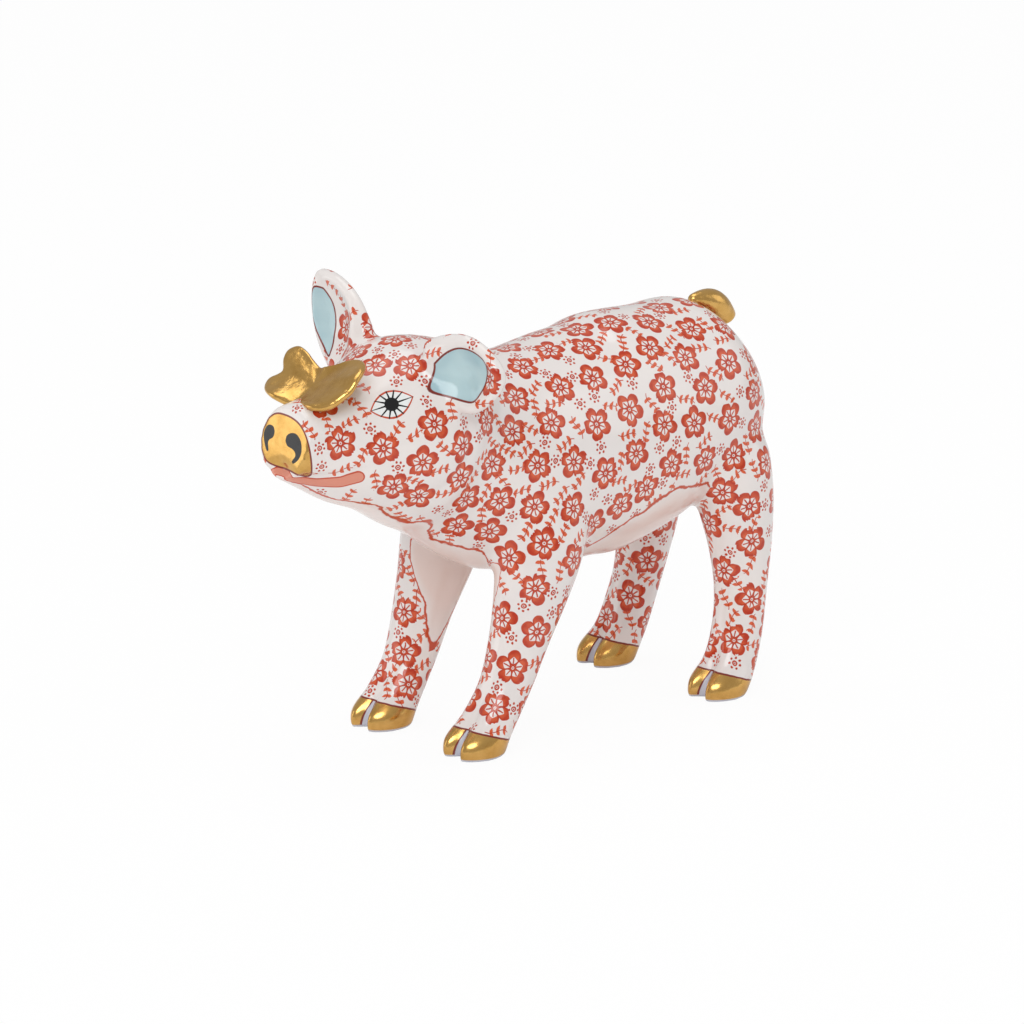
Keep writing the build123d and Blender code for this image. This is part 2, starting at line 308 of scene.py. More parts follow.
def leg_rings(end, side):
    """Rings of one leg from its sole up, with the hoof cloven in front."""
    across, along = circle(LIMB_SIDES)
    long_size, wide_size = THIGH[end]
    rings = []
    rows = [(*row, deep) for row, deep in zip(LEG_SHARES[end], CLEFT_SHARES)]
    for up, back, out, long, wide, deep in smoothed(rows, RING_STEPS):
        x = -along * long * long_size / 2
        y = across * wide * wide_size / 2
        notch = np.clip(1 - np.abs(y) / CLEFT_WIDTH, 0, 1) * CLEFT_DEPTH * max(deep, 0)
        x = np.where(x < 0, x + notch, x)
        centre_x = FOOT_X[end] + back * LEAN[f"{end}_{side}"]
        centre_y = SIDES[side] * out * FOOT_Y[end]
        rings.append(np.stack([centre_x + x, centre_y + y, np.full_like(x, up * LEG_HEIGHT)], 1))
    return rings


def ear_axes(name):
    """Root, axis along the ear, axis across it and axis to its back."""
    ear, side = EARS[name], SIDES[name]
    turn, sweep = radians(ear["spread"]), radians(EAR_SWEEP)
    axis = unit([sin(sweep), side * sin(turn), cos(turn)])
    across = unit(np.cross([1, 0, 0], axis))
    root = np.array([EAR_X, side * EAR_Y, ear["height"]]) - axis * EAR_ROOT
    return root, axis, across, np.cross(axis, across)


def ear_rings(name):
    """Rings of one ear from its root to its tip, cupped on its front."""
    root, axis, across, back = ear_axes(name)
    reach = EAR_ROOT + EARS[name]["length"]
    right, up = circle(LIMB_SIDES)
    rings = []
    for along, wide, thick, cup in smoothed(EAR_SHARES, RING_STEPS):
        a = right * wide * EAR_WIDTH / 2
        b = up * thick * EAR_THICKNESS / 2
        bowl = np.clip(1 - (a / max(cup * CUP_WIDTH / 2, CUP_LEAST)) ** 2, 0, 1)
        limit = thick * EAR_THICKNESS * CUP_LIMIT_SHARE
        b = np.where(up < 0, np.minimum(b + bowl * cup * CUP_DEPTH, limit), b)
        rings.append(root + axis * along * reach + np.outer(a, across) + np.outer(b, back))
    return rings


def mesh_arrays(mesh):
    """Points, quads and edges of a mesh whose faces all have four corners."""
    points = np.zeros(len(mesh.vertices) * 3)
    mesh.vertices.foreach_get("co", points)
    corners = np.zeros(len(mesh.loops), int)
    mesh.loops.foreach_get("vertex_index", corners)
    edges = np.zeros(len(mesh.edges) * 2, int)
    mesh.edges.foreach_get("vertices", edges)
    return points.reshape(-1, 3), corners.reshape(-1, 4), edges.reshape(-1, 2)


def relaxed(points, edges, weights, rounds):
    """Points drawn towards the middle of their neighbours, by one weight or each by its own."""
    count = len(points)
    ends = np.concatenate([edges[:, 0], edges[:, 1]])
    others = np.concatenate([edges[:, 1], edges[:, 0]])
    near = np.bincount(ends, minlength=count)[:, None]
    share = np.broadcast_to(weights, count)[:, None]
    for _ in range(rounds):
        columns = [np.bincount(ends, points[others, k], count) for k in range(points.shape[1])]
        pulled = np.stack(columns, 1) / near
        points = points + (pulled - points) * share
    return points


def voxel_union(forms, detail):
    """Closed forms in millimetres as one skin of even four-sided faces, in millimetres too."""
    points, faces = [], []
    for mesh in forms:
        faces += [[len(points) + v for v in p.vertices] for p in mesh.polygons]
        points += [v.co * MM for v in mesh.vertices]
    mesh = bpy.data.meshes.new("forms")
    mesh.from_pydata(points, [], faces)
    block = bpy.data.objects.new("forms", mesh)
    bpy.context.scene.collection.objects.link(block)
    remesh = block.modifiers.new("skin", "REMESH")
    remesh.mode = "VOXEL"
    remesh.voxel_size = detail
    block.update_tag()
    graph = bpy.context.evaluated_depsgraph_get()
    skin = bpy.data.meshes.new_from_object(block.evaluated_get(graph))
    points, quads, edges = mesh_arrays(skin)
    bpy.data.objects.remove(block)
    return points / MM, quads, edges


def normals_of(points, quads):
    """Unit normals at the points."""
    first, second, third, fourth = (points[quads[:, corner]] for corner in range(4))
    diagonal = np.cross(third - first, fourth - second)
    total = np.zeros_like(points)
    for corner in range(4):
        for k in range(3):
            total[:, k] += np.bincount(quads[:, corner], diagonal[:, k], len(points))
    return total / np.linalg.norm(total, axis=1)[:, None]


def surface_distance(mesh, points):
    """Distance of each point from a mesh."""
    tree = BVHTree.FromPolygons([v.co for v in mesh.vertices], [p.vertices for p in mesh.polygons])
    return np.array([tree.find_nearest(Vector(p))[3] for p in points])


def smooth_step(value, low, high):
    t = np.clip((value - low) / (high - low), 0, 1)
    return t * t * (3 - 2 * t)


def from_runs(points, line):
    """For each straight run of a line, the way from its nearest place to each point."""
    for a, b in zip(line[:-1], line[1:]):
        t = np.clip((points - a) @ (b - a) / ((b - a) @ (b - a)), 0, 1)
        yield points - a - t[:, None] * (b - a)


def line_distance(points, line):
    """Distance of each point from a line of straight runs."""
    return np.minimum.reduce([np.linalg.norm(away, axis=1) for away in from_runs(points, line)])


def soft_line(line):
    return smoothed(line, LINE_STEPS)


def folded(points):
    """Points with the right side folded onto the left."""
    return points * (1, 0, 1) - np.abs(points) * (0, 1, 0)


class Skin:
    """The whole skin as one mesh of four-sided faces, with the casting that each belongs to."""

    def __init__(self):
        forms = {"body": closed_mesh("body", body_rings())}
        for name in LEGS:
            forms[name] = closed_mesh(name, leg_rings(*name.split("_")[1:]))
        for side in EARS:
            forms[f"ear_{side}"] = closed_mesh(f"ear_{side}", ear_rings(side))
        self.points, self.quads, self.edges = voxel_union(forms.values(), sizes().skin_detail)
        self.labels = self.label(forms)
        self.finish_surface()
        self.fields = painted_fields(self)
        self.motifs = motif_map(self)

    def label(self, forms):
        """The casting of each point, and how near a luted joint it is."""
        points = self.points
        names = np.zeros(len(points), int)
        lean = radians(NECK_TILT)
        ahead = (points[:, 0] - NECK[0]) * cos(lean) - (points[:, 2] - NECK[1]) * sin(lean)
        names[ahead < 0] = SKINS.index("head")
        self.joint = np.zeros(len(points))
        for name in LIMBS:
            shape = np.array([v.co for v in forms[name].vertices])
            low, high = shape.min(0) - LUTE_MARGIN, shape.max(0) + LUTE_MARGIN
            close = np.nonzero(np.all((points > low) & (points < high), axis=1))[0]
            own = surface_distance(forms[name], points[close])
            body = surface_distance(forms["body"], points[close])
            names[close[own < body]] = SKINS.index(name)
            reach = LUTE_REACH[name.split("_")[0]]
            near = 1 - smooth_step(np.maximum(own, body), LUTE_CORE_SHARE * reach, reach)
            self.joint[close] = np.maximum(self.joint[close], near)
        return names

    def finish_surface(self):
        """Slip at the joints, glaze over the edges, and the furrows."""
        points = relaxed(self.points, self.edges, *STEP_EASE)
        spread = relaxed(self.joint[:, None], self.edges, *JOINT_EASE)[:, 0]
        points = relaxed(points, self.edges, LUTE_PULL_SHARE * spread, sizes().lute_rounds)
        normals = normals_of(points, self.quads)
        for width, depth, line in FURROWS:
            for side in (1, -1):
                gap = line_distance(points, soft_line(line) * (1, side, 1))
                points = points - normals * (depth * np.exp(-((gap / width) ** 2)))[:, None]
        points = relaxed(points, self.edges, *FURROW_EASE)
        points[:, 2] = np.maximum(points[:, 2], 0)
        self.points = points
        self.normals = normals_of(points, self.quads)


# The value of a painted feature's field away from the feature.
OUTSIDE = -9.0
# How near the lip's line its band is looked for.
LIP_REACH = 3.0
# Painted features of the left side, mirrored to the right.
LIP_LINE = (
    (-39.5, -6.5, 41.0), (-40.5, -5.8, 40.7), (-41.5, -5.0, 40.4), (-42.9, -4.2, 40.4), (-44.4, -3.3, 40.5),
    (-45.6, -2.6, 40.9), (-46.6, -1.8, 41.3), (-47.4, -0.9, 41.9), (-47.5, 0.0, 42.1),
)
LIP_WIDTHS = ((-47.4, 0.50), (-44.5, 0.66), (-42.0, 0.76), (-39.5, 0.76))
# Outlines on the snout's end: across it to the right, spread where it rounds off, and up it. The
# snout is what lies ahead of a place on the pig, and the gold and the nostrils reach so far back.
SNOUT_END, SNOUT_TURN, SNOUT_SPREAD, SNOUT_FROM = (-46.8, 0.0, 45.8), 12.0, 0.8, -36.0
DISC_DEPTH, NOSTRIL_DEPTH = 4.0, 1.5
DISC_OUTLINE = (
    (-5.2, -3.7), (-5.6, -3.0), (-5.45, -1.4), (-4.85, 0.3), (-3.8, 1.8), (-2.5, 2.85), (-1.0, 3.4),
    (0.5, 3.6), (2.1, 3.55), (3.4, 2.95), (4.2, 1.8), (4.6, 0.2), (4.1, -1.7), (3.0, -2.9),
    (1.6, -3.35), (0.0, -3.4), (-2.0, -3.45), (-3.2, -3.65), (-4.5, -3.85),
)
NOSTRIL_OUTLINES = (
    (
        (-0.2, 0.3), (-0.3, 1.0), (-1.1, 1.5), (-2.2, 1.5), (-3.2, 0.7), (-3.6, -0.6), (-3.2, -1.7),
        (-2.3, -2.4), (-2.0, -2.1), (-2.5, -1.4), (-2.4, -0.9), (-1.7, -0.5), (-0.7, -0.3),
    ),
    (
        (2.1, 1.0), (2.5, 1.7), (3.4, 1.8), (4.0, 1.3), (4.2, 0.4), (3.8, -0.7), (3.1, -1.7),
        (2.8, -1.5), (3.1, -0.6), (2.9, -0.1), (2.3, 0.3),
    ),
)
# How far the skin has turned down, station by station, before the paint stops, and the same for
# how far the front legs have turned inwards at each height above the lowest bare one.
BARE_BELOW = (
    (-45, 0.80), (-24, 0.77), (-18, 0.66), (0, 0.70), (5, 0.50), (9, 0.38), (13, 0.34), (20, 0.50),
    (36, 0.75),
)
BARE_INSIDE = ((11, 1.00), (17, 0.75), (22.6, 0.16), (30, 0.0))
BARE_LOWEST = 10.0
# Millimetres that a whole turn of the skin counts for, below and on the inside of the legs.
BELOW_SPREAD, INSIDE_SPREAD = 7.0, 5.0
# Outline of the blue in each ear: across the ear and along it.
CUP_OUTLINES = {
    "left": (
        (-1.6, 2.6), (-3.1, 4.5), (-3.7, 6.4), (-3.2, 8.6), (-1.9, 10.3), (0.5, 9.9), (2.2, 9.0),
        (3.5, 7.6), (2.9, 4.6), (1.5, 2.2),
    ),
    "right": (
        (-0.1, 13.9), (-0.1, 11.5), (-1.0, 9.2), (-2.0, 7.4), (-2.8, 4.9), (-3.6, 6.6), (-4.1, 9.0),
        (-4.0, 11.4), (-2.8, 13.6), (-1.2, 14.8),
    ),
}
# How far from the ear's root and from its middle sheet the blue is, and how far back it may face.
CUP_REACH, CUP_HALF_DEPTH, CUP_FACING = 20.0, 4.5, 0.25
TOE_X = {"front": -26.0, "hind": 17.7}
HOOF_TOP, HOOF_SLOPE, HOOF_LEAST = 4.7, 0.33, 1.8
CLEFT_TOP, CLEFT_BOTTOM, CLEFT_REACH = 0.12, 0.85, 4.5


def outline_distance(places, outline):
    """Distance of flat places from a closed smooth outline, above zero inside it."""
    loop = soft_line(outline + outline[:1])
    inside = np.zeros(len(places), bool)
    for a, b in zip(loop[:-1], loop[1:]):
        crosses = (a[1] > places[:, 1]) != (b[1] > places[:, 1])
        if crosses.any():
            inside ^= crosses & (places[:, 0] < (b[0] - a[0]) * (places[:, 1] - a[1]) / (b[1] - a[1]) + a[0])
    edge = line_distance(places, loop)
    return np.where(inside, edge, -edge)


def beside_line(points, normals, line):
    """Distance of points from a line along the skin, leaving out how deep the line lies under it."""
    best = np.full(len(points), -OUTSIDE)
    for away in from_runs(points, line):
        near = np.linalg.norm(away, axis=1) < LIP_REACH
        away -= normals * (away * normals).sum(1)[:, None]
        best = np.where(near, np.minimum(best, np.linalg.norm(away, axis=1)), best)
    return best


def leg_fields(skin, fields, name):
    """The bare inside of a front leg, and the hoof and its cleft."""
    x, y, z = skin.points.T
    end, side = name.split("_")[1:]
    own = skin.labels == SKINS.index(name)
    if end == "front":
        inwards = -skin.normals[:, 1] * np.sign(y)
        turned = (inwards - np.interp(z, *zip(*BARE_INSIDE))) * INSIDE_SPREAD
        fields["bare"][own] = np.where(z > BARE_LOWEST, turned, OUTSIDE)[own]
    top = np.maximum(HOOF_TOP - HOOF_SLOPE * (x - TOE_X[end]), HOOF_LEAST)
    fields["hoof"][own] = (top - z)[own]
    beside = np.abs(y - FOOT_Y[end] * SIDES[side])
    wedge = CLEFT_BOTTOM + (CLEFT_TOP - CLEFT_BOTTOM) * z / HOOF_TOP - beside
    fields["cleft"][own] = np.where(x < TOE_X[end] + CLEFT_REACH, wedge, OUTSIDE)[own]


def snout_fields(skin, fields):
    """The lip, the gilded disc and the nostrils."""
    own = np.nonzero(skin.points[:, 0] < SNOUT_FROM)[0]
    points, outward = skin.points[own], skin.normals[own]
    x, y = points[:, 0], points[:, 1]
    outward[:, 1] *= -np.sign(y)
    from_lip = beside_line(folded(points), outward, soft_line(LIP_LINE))
    fields["lip"][own] = np.interp(x, *zip(*LIP_WIDTHS)) - from_lip
    turn = radians(SNOUT_TURN)
    from_end = points - SNOUT_END
    ahead = from_end @ (-cos(turn), 0, sin(turn))
    spread = y + np.sign(y) * SNOUT_SPREAD * np.abs(ahead)
    flat = np.stack([spread, from_end @ (sin(turn), 0, cos(turn))], 1)
    fields["disc"][own] = np.minimum(outline_distance(flat, DISC_OUTLINE), ahead + DISC_DEPTH)
    for outline in NOSTRIL_OUTLINES:
        dark = np.minimum(outline_distance(flat, outline), ahead + NOSTRIL_DEPTH)
        fields["nostril"][own] = np.maximum(fields["nostril"][own], dark)


def cup_fields(skin, fields, name):
    """The blue inside of one ear."""
    root, axis, across, back = ear_axes(name)
    away = skin.points - root
    facing = skin.normals @ back < CUP_FACING
    close = (np.linalg.norm(away, axis=1) < CUP_REACH) & (np.abs(away @ back) < CUP_HALF_DEPTH)
    own = np.nonzero(close & facing)[0]
    flat = np.stack([away[own] @ across, away[own] @ axis], 1)
    fields["cup"][own] = np.maximum(fields["cup"][own], outline_distance(flat, CUP_OUTLINES[name]))


def painted_fields(skin):
    """For each point how far inside each painted feature it is, in millimetres."""
    names = ("bare", "lip", "disc", "nostril", "cup", "hoof", "cleft")
    fields = {name: np.full(len(skin.points), OUTSIDE) for name in names}
    limit = np.interp(skin.points[:, 0], *zip(*BARE_BELOW))
    is_body = skin.labels < SKINS.index(LIMBS[0])
    fields["bare"][is_body] = ((-skin.normals[:, 2] - limit) * BELOW_SPREAD)[is_body]
    for name in LEGS:
        leg_fields(skin, fields, name)
    snout_fields(skin, fields)
    for name in EARS:
        cup_fields(skin, fields, name)
    return fields


# The kinds of motif, and the mark of a place without one.
BLOSSOM, SPRIG, ROSETTE, NO_MOTIF = 0, 1, 2, 8
# A blossom's width, and how much further than a small motif it holds the skin round it.
BLOSSOM_WIDTH, BLOSSOM_REACH = 4.1, 1.0
# How far blossoms and small motifs stay from the eyes and from the edge of each painted feature.
EYE_MIDDLE, EYE_ROOM = (-34.43, -7.35, 50.3), (4.3, 3.3)
MOTIF_ROOM = (
    ("bare", 0.6, 0.0),
    ("lip", 2.0, 0.9),
    ("disc", 2.0, 0.9),
    ("cup", 0.9, 0.5),
    ("hoof", 1.3, 0.5),
)
PLACE_SEED, TURN_SEED = 11, 5
# Rounds that even the blossoms out, on every so many of the points, and how often a rosette comes.
EVEN_ROUNDS, EVEN_STEP, ROSETTE_EVERY = 6, 5, 3
# A direction that no motif's normal has. Then how far a motif follows the skin round a bend: the
# least flat distance, the most stretch of it, and how far a face may turn from the motif.
OFF_AXIS, LEAST_REACH, MOST_STRETCH, LEAST_FACING = (0.31, 0.52, 0.79), 0.05, 2, 0.2


def tree_of(points):
    tree = KDTree(len(points))
    for index, point in enumerate(points):
        tree.insert(point, index)
    tree.balance()
    return tree


def numbers_near(tree, point, gap):
    return [found[1] for found in tree.find_range(point, gap)]


def scattered(points, tree, gap, covered, chance):
    """Points at least a gap from one another, picked from those not yet covered."""
    covered = covered.copy()
    picked = []
    for index in chance.permutation(len(points)):
        if not covered[index]:
            picked.append(index)
            covered[numbers_near(tree, points[index], gap)] = True
    return picked


def evened(points, tree, places, sample):
    """The places moved towards the middle of the sample that is nearest each, on the skin."""
    near = tree_of(places)
    owner = np.array([near.find(point)[1] for point in sample])
    count = np.maximum(np.bincount(owner, minlength=len(places)), 1)[:, None]
    sums = [np.bincount(owner, sample[:, k], len(places)) for k in range(3)]
    return points[[tree.find(point)[1] for point in np.stack(sums, 1) / count]]


def motif_places(skin):
    """Where the painted motifs stand: points on the skin, and the kind of each."""
    chance = np.random.default_rng(PLACE_SEED)
    points, tree = skin.points, tree_of(skin.points)
    blossom_gap, filler_gap = sizes().blossom_gap / MM, sizes().filler_gap / MM
    from_eye = np.linalg.norm(folded(points) - EYE_MIDDLE, axis=1)
    no_blossom, no_filler = (from_eye < room for room in EYE_ROOM)
    for field, blossom_room, filler_room in MOTIF_ROOM:
        no_blossom |= skin.fields[field] > -blossom_room
        no_filler |= skin.fields[field] > -filler_room
    places = points[scattered(points, tree, blossom_gap, no_blossom, chance)]
    for _ in range(EVEN_ROUNDS):
        places = evened(points, tree, places, points[~no_blossom][::EVEN_STEP])
    blossoms = []
    for place in places:
        if all(np.linalg.norm(place - points[other]) > BLOSSOM_WIDTH for other in blossoms):
            blossoms.append(tree.find(place)[1])
    for index in blossoms:
        no_filler[numbers_near(tree, points[index], filler_gap)] = True
    fillers = scattered(points, tree, filler_gap, no_filler, chance)
    small = [SPRIG if order % ROSETTE_EVERY else ROSETTE for order in range(len(fillers))]
    return np.array(blossoms + fillers), np.array([BLOSSOM] * len(blossoms) + small)


def motif_map(skin):
    """For every corner of every face, its place across and along the nearest motif, and the motif's kind."""
    at, kinds = motif_places(skin)
    turns = np.random.default_rng(TURN_SEED).uniform(0, 2 * pi, len(at))[:, None]
    normals = skin.normals[at]
    start = np.cross(normals, OFF_AXIS)
    start /= np.linalg.norm(start, axis=1)[:, None]
    first = start * np.cos(turns) + np.cross(normals, start) * np.sin(turns)
    second = np.cross(normals, first)
    corners = skin.points[skin.quads]
    middles = corners.mean(axis=1)
    best = np.full(len(middles), np.inf)
    owner = np.zeros(len(middles), int)
    for kind, reach in ((BLOSSOM, BLOSSOM_REACH), (SPRIG, 0), (ROSETTE, 0)):
        mine = np.nonzero(kinds == kind)[0]
        tree = tree_of(skin.points[at[mine]])
        found = [tree.find(point) for point in middles]
        gap = np.array([hit[2] for hit in found]) - reach
        closer = gap < best
        owner[closer] = mine[np.array([hit[1] for hit in found])[closer]]
        best = np.minimum(best, gap)
    away = corners - skin.points[at[owner]][:, None]
    u = (away * first[owner][:, None]).sum(2)
    v = (away * second[owner][:, None]).sum(2)
    stretch = np.linalg.norm(away, axis=2) / np.maximum(np.hypot(u, v), LEAST_REACH)
    stretch = np.minimum(stretch, MOST_STRETCH)
    seen = (skin.normals[skin.quads[:, 0]] * normals[owner]).sum(1) > LEAST_FACING
    code = np.where(seen, kinds[owner], NO_MOTIF) + 0.5
    return np.stack([u * stretch, v * stretch, np.repeat(code[:, None], 4, 1)], 2)


def row_shift():
    """From the castings' own sizes to the row frame, in metres."""
    low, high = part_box("torso")
    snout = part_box("head")[0].x
    rings = body_rings()
    return np.array([snout - min(r[:, 0].min() for r in rings) * MM, (low.y + high.y) / 2, 0])


def placed(name, mesh):
    """A smooth piece with this mesh, in the scene."""
    mesh.polygons.foreach_set("use_smooth", [True] * len(mesh.polygons))
    piece = bpy.data.objects.new(name, mesh)
    bpy.context.scene.collection.objects.link(piece)
    return piece


def finished(piece, node, finish):
    """Give a piece its finish and let it stand for its casting."""
    piece.data.materials.append(finish)
    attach(piece, "root")
    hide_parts(node)


def rim_of(faces):
    """The edges that only one of the four-sided faces has."""
    runs = np.concatenate([faces[:, [k, (k + 1) % 4]] for k in range(4)])
    keys = {(a, b) for a, b in runs.tolist()}
    return [(a, b) for a, b in keys if (b, a) not in keys]


def joined_loops(rim):
    """Open edges sorted into their closed loops."""
    after = {}
    for a, b in sorted(rim):
        after.setdefault(a, []).append(b)
    loops = []
    for start in sorted(after):
        while after[start]:
            loop, at = [], start
            while after[at]:
                to = after[at].pop()
                loop.append((at, to))
                at = to
            loops.append(loop)
    return loops


def piece_from(skin, name):
    """One casting's own skin as a closed object, with the whole skin's normals."""
    chosen = np.nonzero(skin.labels[skin.quads].min(axis=1) == SKINS.index(name))[0]
    quads = skin.quads[chosen]
    used = np.unique(quads)
    number = np.full(len(skin.points), -1)
    number[used] = np.arange(len(used))
    points = skin.points[used] * MM + row_shift()
    faces = number[quads]
    middles, caps = [], []
    for loop in joined_loops(rim_of(faces)):
        caps += [(b, a, len(points) + len(middles)) for a, b in loop]
        middles.append(points[[a for a, b in loop]].mean(0))
    mesh = bpy.data.meshes.new(f"{name}_skin")
    mesh.from_pydata(np.vstack([points, *middles]).tolist(), [], faces.tolist() + caps)
    piece = placed(f"{name}_skin", mesh)
    for field, values in skin.fields.items():
        everywhere = np.append(values[used], [OUTSIDE] * len(middles))
        layer = mesh.attributes.new(field, "FLOAT", "POINT")
        layer.data.foreach_set("value", everywhere.astype(np.float32))
    corners = np.vstack([skin.motifs[chosen].reshape(-1, 3), np.full((len(caps) * 3, 3), NO_MOTIF + 0.5)])
    layer = mesh.attributes.new("motif", "FLOAT_VECTOR", "CORNER")
    layer.data.foreach_set("vector", corners.astype(np.float32).ravel())
    normals = np.vstack([skin.normals[used], np.tile([0, 0, 1], (len(middles), 1))])
    mesh.normals_split_custom_set_from_vertices(normals.tolist())
    return piece


# Half the width, in millimetres, over which a pen line's edge and a brushed edge fade.
PEN_BLUR, BRUSH_BLUR = 0.03, 0.04


class Tone:
    """A number, colour or vector on its way through a material's nodes."""

    def __init__(self, paint, socket):
        self.paint, self.socket = paint, socket

    def math(self, operation, *values):
        return self.paint.node("ShaderNodeMath", {"operation": operation}, dict(enumerate(values)))

    def __add__(self, other):
        return self.math("ADD", self, other)

    def __radd__(self, other):
        return self.math("ADD", other, self)

    def __sub__(self, other):
        return self.math("SUBTRACT", self, other)

    def __rsub__(self, other):
        return self.math("SUBTRACT", other, self)

    def __mul__(self, other):
        return self.math("MULTIPLY", self, other)

    def __rmul__(self, other):
        return self.math("MULTIPLY", other, self)

    def __truediv__(self, other):
        return self.math("DIVIDE", self, other)

    def __pow__(self, other):
        return self.math("POWER", self, other)

    def __abs__(self):
        return self.math("ABSOLUTE", self)

    def least(self, other):
        return self.math("MINIMUM", self, other)

    def most(self, other):
        return self.math("MAXIMUM", self, other)

    def sine(self):
        return self.math("SINE", self)

    def wrapped(self, low, high):
        return self.math("WRAP", self, high, low)

    def turn(self, across):
        """The angle of a place from the across axis, where this number is its height."""
        return self.math("ARCTAN2", self, across)

    def above(self, edge, blur=PEN_BLUR):
        """1 where the number is well above the edge, 0 where it is well below."""
        settings = {"interpolation_type": "SMOOTHSTEP"}
        return self.paint.node("ShaderNodeMapRange", settings, {0: self, 1: edge - blur, 2: edge + blur})

    def below(self, edge, blur=PEN_BLUR):
        return 1 - self.above(edge, blur)


class Paint:
    """A material of its own, with its nodes."""

    def __init__(self, name, world=None):
        self.material = world or bpy.data.materials.new(name)
        self.material.use_nodes = True
        self.tree = self.material.node_tree
        self.shader = self.tree.nodes.get("Principled BSDF")

    def node(self, kind, settings=None, inputs=None, output=0):
        made = self.tree.nodes.new(kind)
        for key, value in (settings or {}).items():
            setattr(made, key, value)
        for port, value in (inputs or {}).items():
            if isinstance(value, Tone):
                self.tree.links.new(value.socket, made.inputs[port])
            else:
                made.inputs[port].default_value = value
        return Tone(self, made.outputs[output])

    def field(self, name):
        """The number painted on the mesh under this name."""
        return self.node("ShaderNodeAttribute", {"attribute_name": name}, output=2)

    def parts(self, vector):
        """The three numbers of a vector."""
        first = self.node("ShaderNodeSeparateXYZ", {}, {0: vector})
        return first, Tone(self, first.socket.node.outputs[1]), Tone(self, first.socket.node.outputs[2])

    def place(self):
        return self.node("ShaderNodeTexCoord", output=3)

    def measured(self):
        """The place in millimetres from midway between the feet."""
        moved = {0: self.place(), 1: (1 / MM, 1 / MM, 1 / MM), 2: tuple(-row_shift() / MM)}
        return self.node("ShaderNodeVectorMath", {"operation": "MULTIPLY_ADD"}, moved)

    def along(self, place, origin, axis):
        """How far a place is from an origin along an axis."""
        settings = {"operation": "DOT_PRODUCT"}
        reach = self.node("ShaderNodeVectorMath", settings, {0: place, 1: tuple(axis)}, output=1)
        return reach - float(np.dot(origin, axis))

    def noise(self, scale, detail, rough=0.5):
        """Even noise from 0 to 1 whose features are about 1/scale metres apart."""
        inputs = {"Vector": self.place(), "Scale": scale, "Detail": detail, "Roughness": rough}
        return self.node("ShaderNodeTexNoise", {}, inputs)

    def waver(self, scale, detail, width):
        """Noise to both sides of zero, as of an unsteady hand."""
        return (self.noise(scale, detail) - 0.5) * width

    def mix(self, mask, under, over):
        """The colour under, covered by the colour over where the mask is 1."""
        under, over = (tone if isinstance(tone, Tone) else (*tone, 1) for tone in (under, over))
        return self.node("ShaderNodeMix", {"data_type": "RGBA"}, {0: mask, 6: under, 7: over}, output=2)

    def seen_directly(self):
        """1 for the rays that go straight from the camera."""
        return self.node("ShaderNodeLightPath", output="Is Camera Ray")

    def shaded(self):
        return Tone(self, self.shader.outputs[0])

    def show(self, shader, output="Material Output"):
        self.tree.links.new(shader.socket, self.tree.nodes[output].inputs[0])

    def bump(self, height, strength, distance):
        return self.node("ShaderNodeBump", {}, {"Strength": strength, "Distance": distance, "Height": height})

    def finish(self, **inputs):
        for port, value in inputs.items():
            name = port.replace("_", " ").title()
            if isinstance(value, Tone):
                self.tree.links.new(value.socket, self.shader.inputs[name])
            else:
                self.shader.inputs[name].default_value = (*value, 1) if isinstance(value, tuple) else value
        return self.material


class Coat:
    """What the painter has laid on a piece so far: its colour, where it is gold and how rough it is."""

    def __init__(self, paint):
        tint = colours()
        self.paint = paint
        thick = paint.noise(90, 2).above(0.5, 0.25) * 0.5
        self.tone = paint.mix(thick, tint.glaze, tint.glaze_shade)
        self.gilt = 0
        self.rough = 0.07 + 0.08 * paint.noise(310, 4)

    def lay(self, mask, tone):
        self.tone = self.paint.mix(mask, self.tone, tone)
        if isinstance(self.gilt, Tone):
            self.gilt = self.gilt * (1 - mask)

    def gild(self, mask):
        leaf, rough = gold_leaf(self.paint)
        self.lay(mask, leaf)
        self.gilt = mask
        self.rough = self.rough + mask * (rough - self.rough)

    def line(self, distance, tone, share=1.0):
        """A line of this share of the pen's width along the edge that a distance of zero marks."""
        self.lay(abs(distance).below(share * sizes().pen_line / MM / 2, BRUSH_BLUR), tone)


def gold_leaf(paint):
    """Burnished gold, uneven where the brush laid it on: its colour and its roughness."""
    streak = paint.noise(520, 4, 0.6)
    tone = paint.mix(streak.above(0.56, 0.26) * 0.8, colours().gold, colours().gold_shade)
    return tone, 0.12 + 0.2 * streak


# A blossom: its petals, the middle, half length, half width at the root and flare of each, and how
# far out its wash starts. Its veins run between two radii, round a ring and a dot.
PETALS, PETAL_MIDDLE, PETAL_LONG, PETAL_WIDE, PETAL_FLARE = 5, 1.32, 0.95, 0.28, 0.37
# The slope of a petal's field at its edge, and the wash's bow across a petal and its unevenness.
PETAL_SLOPE, WASH_START, WASH_BOW, WASH_WAVER = 0.75, 1.42, 0.55, 0.3
VEIN_START, VEIN_END, VEIN_HALF, RING_RADIUS, DOT_RADIUS = 0.42, 1.3, 0.03, 0.3, 0.1
# Half widths of fine lines as shares of the pen's.
VEIN_SHARE, RING_SHARE, STALK_SHARE, EYELET_SHARE = 0.3, 0.45, 0.35, 0.5
# A sprig: its half length, that of its leafy part, half the spacing of its leaves and their start,
# then the slant, middle, half width and taper of a leaf beside the wavy stem.
SPRIG_REACH, LEAFY_REACH, LEAF_STEP, LEAF_START = 1.7, 1.42, 0.48, 0.1
LEAF_SLANT, LEAF_OUT, LEAF_WIDE, LEAF_TAPER = (0.77, 0.64), 0.44, 0.25, 1.05
STEM_WAVE, STEM_SWING = 1.7, 0.28
# A rosette: its beads and their ring and size, and the ring and the dot inside them.
BEADS, BEAD_RING, BEAD_RADIUS, EYELET_RING, EYELET_DOT = 7, 0.74, 0.17, 0.28, 0.11


